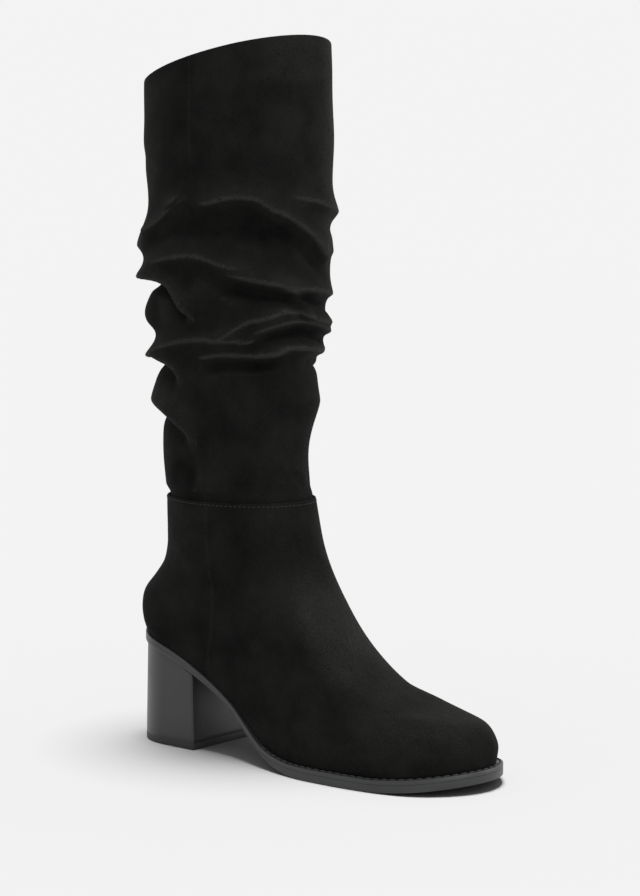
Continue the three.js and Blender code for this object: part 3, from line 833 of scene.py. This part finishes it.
def paint_net(piece, name, net, values):
    """Gives each vertex of a wrapped piece the value at its own point of the net."""
    places = {tuple(np.round(point * 1e6).astype(int)): value
              for point, value in zip(net.reshape(-1, 3), np.asarray(values).ravel())}
    found = [places.get(tuple(np.round(point * 1e6).astype(int)), 0.0) for point in points_of(piece)]
    attribute = piece.data.attributes.new(name, "FLOAT", "POINT")
    attribute.data.foreach_set("value", np.asarray(found, np.float32))


def make_shaft_lining(net):
    """The lining, a thin sheet inside the suede that ends under the collar's turned edge."""
    rows = np.r_[0:len(net) - 3:2]
    part = net[rows] - net_normals(net)[rows] * (SHAFT_WALL + LINING_GAP)
    piece = wrapped("shaft_lining", part)
    thicken(piece, SHAFT_LINING)
    hand_over(piece, LINING, "lining", "shaft", angle=60)


make_shaft_lining(make_shaft())


# Upper
UPPER_COLUMNS = 230
UPPER_EDGE = 1.4 * MM
UPPER_HEM = 5  # rows that the turned edge reaches down inside
EDGE_DROP = 1.4 * MM  # the seam's edge lies this far under the height of the seam
UPPER_SUEDE = 0.7 * MM  # the suede alone
UPPER_SWELL = 0.35 * MM
SEAM_STEP = 0.12 * MM  # how deep the side seam is, and how proud its edges
UPPER_LINING = 0.5 * MM
LINING_DEEP = 1.35 * MM  # from the suede's face to the lining's
SEAM_X_TOP = 47 * MM  # where the side seam of the foot meets the ankle seam
SEAM_X_FOOT = 39.5 * MM  # and where it meets the sole
SEAM_SHARE = 0.4  # the share of the columns that lie behind it
FOOT_ROUND = 0.35 * MM  # how far the suede's lower edge is drawn in where it starts to turn
FOOT_TUCK = 1.6 * MM  # how far it is tucked in under the foot
FOOT_DROP = 0.2 * MM  # how far it hangs under the foot's own edge


def upper_turns(levels):
    """The turn of each column at each level, with columns kept along the two side seams."""
    back = last_net(np.zeros(1), levels)[:, 0, 0]
    front = last_net(np.full(1, math.pi), levels)[:, 0, 0]
    half = (front - back) / 2
    seam_x = SEAM_X_FOOT + (SEAM_X_TOP - SEAM_X_FOOT) * smooth(levels[:, 0], 0.1, 0.9)
    seam = np.arccos(np.clip(1 - (seam_x - back) / half, -1, 1))
    count = UPPER_COLUMNS // 2
    at_seam = int(count * SEAM_SHARE)
    turns = np.empty((len(levels), UPPER_COLUMNS))
    for r, (turn, reach_x) in enumerate(zip(seam, half)):
        first = np.linspace(0, turn, at_seam + 1)
        second = np.linspace(turn, math.pi, count - at_seam + 1)
        side = np.r_[first, second[1:]]
        scale = MM / (reach_x * math.sin(turn))
        for step, offset in ((-2, -1.5), (-1, -0.5), (1, 0.5), (2, 1.5)):
            side[at_seam + step] = turn + offset * scale
        turns[r] = np.r_[side[:-1], 2 * math.pi - side[:0:-1]]
    return turns, at_seam


def rubbed_upper(x, turns, levels, at_seam):
    """Where the nap is worn pale: along the instep, on the toe and on the edges of the outer
    side seam."""
    ridge = smooth(-np.cos(turns), 0.6, 0.97)
    instep = bell(x, 118 * MM, 37 * MM) * smooth(levels, 0.35, 0.6) * ridge
    instep = instep * (1 - smooth(levels, 0.7, 0.95))
    toe = smooth(x, 130 * MM, 200 * MM) * smooth(levels, 0.05, 0.3)
    rub_and_painted_light = np.clip(0.66 * instep + 0.42 * toe, 0, 1)
    for column in (at_seam - 1, at_seam + 1):
        rub_and_painted_light[:, column] = np.maximum(rub_and_painted_light[:, column], 0.3)
    return rub_and_painted_light


def make_upper():
    """The suede of the foot, with its side seams, its turned edge at the ankle and its lower edge
    tucked in."""
    levels = stepped((0, 0), (0.3, 34), (0.96, 70), (1, 8))[:, None]
    turns, at_seam = upper_turns(levels)
    net = last_net(turns, levels)
    normals = net_normals(net)
    lift = unevenness(net, 30.0) * UPPER_SWELL * smooth(levels, 0.02, 0.2)
    for column in (at_seam, UPPER_COLUMNS - at_seam):
        lift[:, column] -= SEAM_STEP
        lift[:, column - 1] += SEAM_STEP
        lift[:, column + 1] += SEAM_STEP
    net = net + normals * lift[:, :, None]
    net[:, :, 2] -= EDGE_DROP * smooth(levels, 0.9, 1)
    rub_and_painted_light = rubbed_upper(net[:, :, 0], turns, levels, at_seam)
    edge = turned_edge(net, UPPER_EDGE, UPPER_HEM)
    drop = np.array([0, 0, FOOT_DROP])
    tuck = net[:1] - normals[:1] * FOOT_TUCK - drop
    start = net[:1] - normals[:1] * FOOT_ROUND - drop
    whole = np.concatenate([tuck, start, net[1:], edge])
    values = np.concatenate([rub_and_painted_light[:2], rub_and_painted_light[1:], np.repeat(rub_and_painted_light[-1:], len(edge), axis=0)])
    piece = wrapped("upper_suede", whole)
    paint_net(piece, "rub_and_painted_light", whole, values)
    thicken(piece, UPPER_SUEDE)
    hand_over(piece, SUEDE, "suede", "upper", angle=60)
    return net


def make_upper_lining(net):
    """The lining of the foot, which ends under the turned edge at the ankle."""
    rows = np.r_[0:len(net) - 8:2]
    columns = np.r_[0:UPPER_COLUMNS:2]
    part = (net - net_normals(net) * LINING_DEEP)[rows][:, columns]
    piece = wrapped("upper_lining", part)
    thicken(piece, UPPER_LINING)
    hand_over(piece, LINING, "lining", "upper", angle=60)


upper_surface = make_upper()
make_upper_lining(upper_surface)


# Sole
SOLE_COLUMNS = 200
TOUCH_GAP = 0.04 * MM  # between pieces that touch on the real boot
sole_turns = even_turns(SOLE_COLUMNS)


def flush(x):
    """No inset anywhere along the sole."""
    return 0 * x


def plus(function, extra):
    """The same curve along the sole with something added."""
    return lambda x: function(x) + extra


def ring(inset, level, width=1.0):
    """A ring on the sole's outline with all of the sole's columns."""
    return sole_ring(sole_turns, inset, level, width)


def make_outsole():
    """Sole leather: a bevelled waist, a round lower edge and a dressed side."""
    bevel = lambda x: OUTSOLE_THICKNESS * sole("bevel", x)
    edge_foot = lambda x: underside(x) + bevel(x) * BEVEL_PITCH
    small = 0.5 * MM
    rows = [
        ring(plus(bevel, small), underside, 0.0),
        ring(plus(bevel, small), underside, 0.5),
        ring(plus(bevel, small), underside),
        ring(plus(bevel, 0.25 * small), plus(underside, 0.15 * small)),
        ring(plus(flush, 0.3 * small), plus(edge_foot, -0.1 * small)),
        ring(flush, plus(edge_foot, 0.6 * small)),
        ring(flush, plus(outsole_top, -0.3 * small)),
        ring(plus(flush, 0.3 * small), outsole_top),
        ring(plus(flush, 0.3 * small), outsole_top, 0.5),
        ring(plus(flush, 0.3 * small), outsole_top, 0.0),
    ]
    piece = wrapped("outsole_leather", rows)
    seal(piece)
    hand_over(piece, SOLE_EDGE, "sole", "outsole", angle=35)


def make_welt():
    """The welt, whose ledge shows beside the forefoot."""
    inside = lambda x: ledge(x) + UPPER_WALL + 2 * SEAT_GAP
    foot = plus(outsole_top, TOUCH_GAP)
    small = 0.6 * MM
    rows = [
        ring(inside, foot),
        ring(plus(flush, 0.25 * small), foot),
        ring(flush, plus(foot, 0.25 * small)),
        ring(flush, plus(welt_top, -small)),
        ring(plus(flush, 0.3 * small), plus(welt_top, -0.3 * small)),
        ring(plus(flush, small), welt_top),
        ring(inside, welt_top),
    ]
    piece = wrapped("welt_strip", rows, joined=True)
    seal(piece)
    hand_over(piece, SOLE_EDGE, "sole", "welt", angle=35)


def make_insole():
    """The sock on the insole, with a soft round edge."""
    inside = lambda x: ledge(x) + UPPER_WALL + 3 * SEAT_GAP
    top = plus(welt_top, -0.2 * MM)
    rows = [
        ring(inside, welt_foot, 0.0),
        ring(inside, welt_foot, 0.5),
        ring(inside, welt_foot),
        ring(inside, plus(top, -0.6 * MM)),
        ring(plus(inside, 0.2 * MM), plus(top, -0.15 * MM)),
        ring(plus(inside, 0.8 * MM), top),
        ring(plus(inside, 0.8 * MM), top, 0.75),
        ring(plus(inside, 0.8 * MM), plus(top, -0.1 * MM), 0.4),
        ring(plus(inside, 0.8 * MM), plus(top, -0.1 * MM), 0.0),
    ]
    piece = wrapped("sock_lining", rows)
    seal(piece)
    hand_over(piece, LINING, "lining", "insole", angle=50)


make_outsole()
make_welt()
make_insole()


# Heel
HEEL_SIDE_POINTS = 48
CORNER_POINTS = 5
LIFT_GAP = 0.05 * MM  # between the heel and its top piece


def heel_ring(up, inset, level, width=1.0):
    """A D in plan, round at the back and flat at the breast, with rounded breast corners."""
    back = heel_back + HEEL_INSET - HEEL_FLARE * (1 - up) + inset
    corner = breast - BREAST_CORNER - BREAST_LEAN * up
    half = ball_half * SOLE["half"][0] - HEEL_INSET - inset
    share = np.linspace(0, 1, HEEL_SIDE_POINTS + 1)
    run = (1 - np.cos(share * math.pi / 2)) * (corner - back)
    x = list(back + run)
    y = list(half * round_ends(run / sole_length, HEEL_ROUND, TOE_ROUND))
    for i in range(1, CORNER_POINTS + 1):
        angle = i / CORNER_POINTS * math.pi / 2
        x.append(corner + (BREAST_CORNER - inset) * math.sin(angle))
        y.append(half - BREAST_CORNER + BREAST_CORNER * math.cos(angle))
    for across in (0.75, 0.5, 0.25):
        x.append(x[HEEL_SIDE_POINTS + CORNER_POINTS])
        y.append((half - BREAST_CORNER) * across)
    x, y = np.array(x), np.array(y)
    x = np.r_[x, x[:0:-1]]
    y = np.r_[-y, y[:0:-1]]
    z = level(x) if callable(level) else np.full_like(x, level)
    return np.stack([x, y * width, z], -1)


def make_heel():
    """The covered block, from just over the top piece to just under the sole."""
    foot = lift_thickness + LIFT_GAP
    head = plus(underside, -TOUCH_GAP)
    soft = 0.2 * MM
    between = lambda share: (lambda x: foot + (head(x) - foot) * share)
    rows = [
        heel_ring(0, soft, foot, 0.0),
        heel_ring(0, soft, foot, 0.5),
        heel_ring(0, soft, foot),
        heel_ring(0, 0.05 * MM, foot + 0.06 * MM),
    ]
    for share in np.linspace(0, 0.98, 16):
        rows.append(heel_ring(share, 0, between(share) if share else foot + soft))
    rows += [
        heel_ring(1, 0.15 * MM, head),
        heel_ring(1, 0.15 * MM, head, 0.5),
        heel_ring(1, 0.15 * MM, head, 0.0),
    ]
    piece = wrapped("heel_cover", rows)
    seal(piece)
    hand_over(piece, HEEL_COVER, "heel", "heel_block", angle=35)


def make_top_piece():
    """The rubber under the heel, with eased edges."""
    soft = 0.3 * MM
    rows = [
        heel_ring(0, soft, 0.0, 0.0),
        heel_ring(0, soft, 0.0, 0.5),
        heel_ring(0, soft, 0.0),
        heel_ring(0, 0.1 * MM, 0.12 * MM),
        heel_ring(0, 0, soft),
        heel_ring(0, 0, lift_thickness - 0.15 * MM),
        heel_ring(0, 0.12 * MM, lift_thickness),
        heel_ring(0, 0.12 * MM, lift_thickness, 0.5),
        heel_ring(0, 0.12 * MM, lift_thickness, 0.0),
    ]
    piece = wrapped("heel_top_piece", rows)
    seal(piece)
    hand_over(piece, RUBBER, "top_piece", "top_piece", angle=35)


make_heel()
make_top_piece()


# Stitches
def one_stitch(length, thickness):
    """A single stitch of thread: a short rod with rounded ends."""
    bpy.ops.mesh.primitive_uv_sphere_add(segments=8, ring_count=6, radius=0.5)
    stitch = bpy.context.object
    points = points_of(stitch)
    along = np.sign(points[:, 2]) * np.abs(points[:, 2] * 2) ** 0.7 / 2
    shaped = np.stack([along * length, points[:, 0] * thickness, points[:, 1] * thickness], -1)
    stitch.data.vertices.foreach_set("co", shaped.ravel())
    seal(stitch)
    return stitch


def stitch_row(name, places, length, thickness, material, slot):
    """One stitch copied along a line of places, each a point, the way ahead and the way out."""
    first = one_stitch(length, thickness)
    copies = []
    for point, ahead, out in places:
        ahead = Vector(ahead).normalized()
        out = (Vector(out) - ahead * Vector(out).dot(ahead)).normalized()
        across = out.cross(ahead)
        copy = first.copy()
        copy.data = first.data.copy()
        copy.matrix_world = Matrix.Translation(point) @ Matrix((ahead, across, out)).transposed().to_4x4()
        bpy.context.collection.objects.link(copy)
        copies.append(copy)
    bpy.data.objects.remove(first)
    bpy.ops.object.select_all(action="DESELECT")
    for copy in copies:
        copy.select_set(True)
    bpy.context.view_layer.objects.active = copies[0]
    bpy.ops.object.join()
    row = bpy.context.object
    row.name = name
    bpy.ops.object.transform_apply(location=True, rotation=True, scale=True)
    hand_over(row, material, slot, angle=60)


def evenly_along(line, pitch, normals):
    """Points at an even pitch along a line, with the way ahead and the way out at each."""
    way = np.r_[0, np.cumsum(np.linalg.norm(np.diff(line, axis=0), axis=1))]
    count = int(way[-1] / pitch)
    for at in (np.arange(count) + 0.5) * way[-1] / count:
        i = min(int(np.searchsorted(way, at)), len(way) - 1)
        t = (at - way[i - 1]) / (way[i] - way[i - 1])
        point = line[i - 1] + (line[i] - line[i - 1]) * t
        out = normals[i - 1] + (normals[i] - normals[i - 1]) * t
        yield tuple(point), tuple(line[i] - line[i - 1]), tuple(out)


WELT_PITCH = 4.9 * MM
WELT_FROM = 0.46  # where the welt's stitches begin, as a share of the sole's length
WELT_INSET = 0.52  # where they run, as a share of the ledge's width
WELT_LIFT = 0.12 * MM  # of a stitch's middle over the welt
WELT_STITCH = (3.7 * MM, 1.1 * MM)  # length and thickness
ANKLE_PITCH = 2.7 * MM
ANKLE_ROW = -2  # the ankle's stitches run along this row of the foot, under its edge
ANKLE_LIFT = 0.05 * MM  # of a stitch's middle over the suede
ANKLE_STITCH = (1.7 * MM, 0.4 * MM)


def welt_stitches():
    """The stitches on the welt's ledge, round the forefoot."""
    turns = np.linspace(0, 2 * math.pi, 800)
    inset = lambda x: ledge(x) * WELT_INSET
    line = sole_ring(turns, inset, plus(welt_top, WELT_LIFT))
    share = (1 - np.cos(turns)) / 2
    line = line[share > WELT_FROM]
    places = evenly_along(line, WELT_PITCH, np.tile((0, 0, 1.0), (len(line), 1)))
    stitch_row("welt_stitches", places, *WELT_STITCH, THREAD, "sole")


def ankle_stitches():
    """The fine stitches just under the foot's edge at the ankle."""
    loop = upper_surface[ANKLE_ROW]
    normals = net_normals(upper_surface)[ANKLE_ROW]
    loop, normals = np.r_[loop, loop[:1]], np.r_[normals, normals[:1]]
    places = evenly_along(loop + normals * ANKLE_LIFT, ANKLE_PITCH, normals)
    stitch_row("ankle_stitches", places, *ANKLE_STITCH, FINE_THREAD, "suede")


welt_stitches()
ankle_stitches()


# Floor, world and lights
FLOOR_SIZE = 60.0
WHITE = 0.896  # the pale grey of the floor and what is round it
FLOOR_SHARE = 0.17  # how much of the floor's light is the world's
CEILING_SPREAD = math.radians(21)  # how soft the lamp above the floor is


def make_floor():
    """A matt floor, lit a little by the world and mostly by a wide lamp far above, which keeps the
    boot's shadow close to it. Together they make the floor as bright as what is round it."""
    bpy.ops.mesh.primitive_plane_add(size=FLOOR_SIZE, location=(0, 0, 0))
    floor = bpy.context.object
    floor.name = "floor"
    grey = (FLOOR_SHARE, FLOOR_SHARE, FLOOR_SHARE, 1)
    made = new_material("studio_floor", Base_Color=grey, Roughness=1.0, Specular_IOR_Level=0.0)
    floor.data.materials.append(made[0])


def soft_light(name, place, target, width, height, power):
    bpy.ops.object.light_add(type="AREA", location=place)
    light = bpy.context.object
    light.name = name
    light.data.shape = "RECTANGLE"
    light.data.size = width
    light.data.size_y = height
    light.data.energy = power
    light.rotation_mode = "QUATERNION"
    light.rotation_quaternion = (Vector(target) - Vector(place)).to_track_quat("-Z", "Y")


def make_world():
    world = bpy.data.worlds.new("studio")
    bpy.context.scene.world = world
    world.use_nodes = True
    background = world.node_tree.nodes["Background"]
    background.inputs["Color"].default_value = (WHITE, WHITE, WHITE, 1)
    background.inputs["Strength"].default_value = 1.0


def light_from_above():
    """The lamp far above the floor."""
    bpy.ops.object.light_add(type="SUN", location=(0, 0, 3))
    light = bpy.context.object
    light.name = "ceiling"
    light.data.angle = CEILING_SPREAD
    light.data.energy = math.pi * WHITE * (1 - FLOOR_SHARE) / FLOOR_SHARE
    return light


def share_out_light(ceiling):
    """The ceiling lights the floor alone, and the other lamps light the boot alone."""
    boot = bpy.data.collections.new("lit_boot")
    ground = bpy.data.collections.new("lit_floor")
    for piece in bpy.data.objects:
        if piece.type == "MESH":
            (ground if piece.name == "floor" else boot).objects.link(piece)
    for lamp in bpy.data.objects:
        if lamp.type == "LIGHT":
            lamp.light_linking.receiver_collection = ground if lamp == ceiling else boot


make_floor()
make_world()
BOOT_MIDDLE = (0.06, 0, 0.2)
soft_light("overhead", (0.1, -0.1, 1.6), BOOT_MIDDLE, 1.2, 1.2, 8)
soft_light("left_wall", (-1.2, -0.1, 0.6), BOOT_MIDDLE, 0.6, 1.4, 1.8)
soft_light("right_wall", (1.15, 0.9, 0.6), BOOT_MIDDLE, 0.7, 1.4, 8.6)
soft_light("front_wall", (1.4, -0.3, 0.35), BOOT_MIDDLE, 0.7, 0.7, 3.2)
share_out_light(light_from_above())
